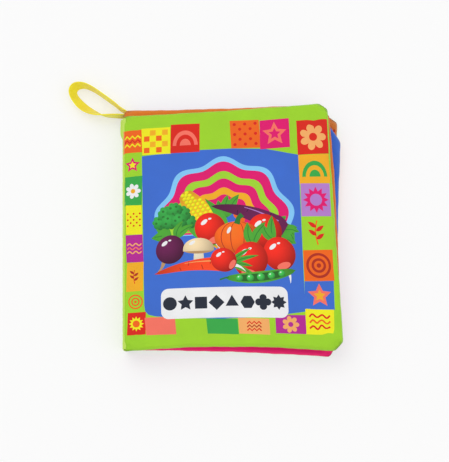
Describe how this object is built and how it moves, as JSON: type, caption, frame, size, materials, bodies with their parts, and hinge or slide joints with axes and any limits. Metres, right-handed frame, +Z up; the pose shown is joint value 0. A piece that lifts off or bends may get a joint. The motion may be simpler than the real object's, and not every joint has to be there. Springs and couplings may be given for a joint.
{
  "type": "crinkle cloth book",
  "caption": "Small soft cloth baby book, closed and lying flat, with padded crinkling leaves that open on a cloth spine and a ribbon loop at the head of the spine.",
  "frame": {"origin": "middle of the book's flat underside, half a page width from the spine", "axes": "+Z up out of the front cover, +Y towards the head of the pages, +X from the spine to the free edge"},
  "size_m": [0.1389, 0.1441, 0.0145],
  "materials": {
    "lime_cloth": "printed polyester plain weave, matte",
    "orange_cloth": "printed polyester plain weave, matte",
    "blue_cloth": "printed polyester plain weave, matte",
    "magenta_cloth": "printed polyester plain weave, matte",
    "crinkle_film": "crumpled thin film",
    "wadding": "polyester wadding",
    "seam_thread": "polyester sewing thread",
    "yellow_ribbon": "woven ribbon with a slight sheen"
  },
  "bodies": {
    "back_cover": {"back_cover_upper_cloth": "magenta_cloth", "back_cover_lower_cloth": "lime_cloth", "back_cover_crinkle_film": "crinkle_film", "back_cover_wadding": "wadding", "spine_cloth": "lime_cloth", "back_seam_thread": "seam_thread", "hanging_loop": "yellow_ribbon"},
    "leaf_b": {"leaf_b_upper_cloth": "blue_cloth", "leaf_b_lower_cloth": "magenta_cloth", "leaf_b_crinkle_film": "crinkle_film", "leaf_b_wadding": "wadding"},
    "leaf_a": {"leaf_a_upper_cloth": "orange_cloth", "leaf_a_lower_cloth": "blue_cloth", "leaf_a_crinkle_film": "crinkle_film", "leaf_a_wadding": "wadding"},
    "front_cover": {"front_cover_upper_cloth": "lime_cloth", "front_cover_lower_cloth": "orange_cloth", "front_cover_crinkle_film": "crinkle_film", "front_cover_wadding": "wadding", "front_seam_thread": "seam_thread"}
  },
  "joints": [
    {"name": "front_cover_hinge", "type": "hinge", "parent": "leaf_a", "child": "front_cover", "pos_m": [-0.05275, 0, 0.01095], "axis": [0, -1, 0], "range_deg": [0, 184], "deforming": ["spine_cloth", "hanging_loop"]},
    {"name": "leaf_a_hinge", "type": "hinge", "parent": "leaf_b", "child": "leaf_a", "pos_m": [-0.05275, 0, 0.00725], "axis": [0, 1, 0], "range_deg": [-60, 0], "deforming": ["spine_cloth"]},
    {"name": "leaf_b_hinge", "type": "hinge", "parent": "back_cover", "child": "leaf_b", "pos_m": [-0.05275, 0, 0.00355], "axis": [0, 1, 0], "range_deg": [-60, 0], "deforming": ["spine_cloth"]}
  ]
}
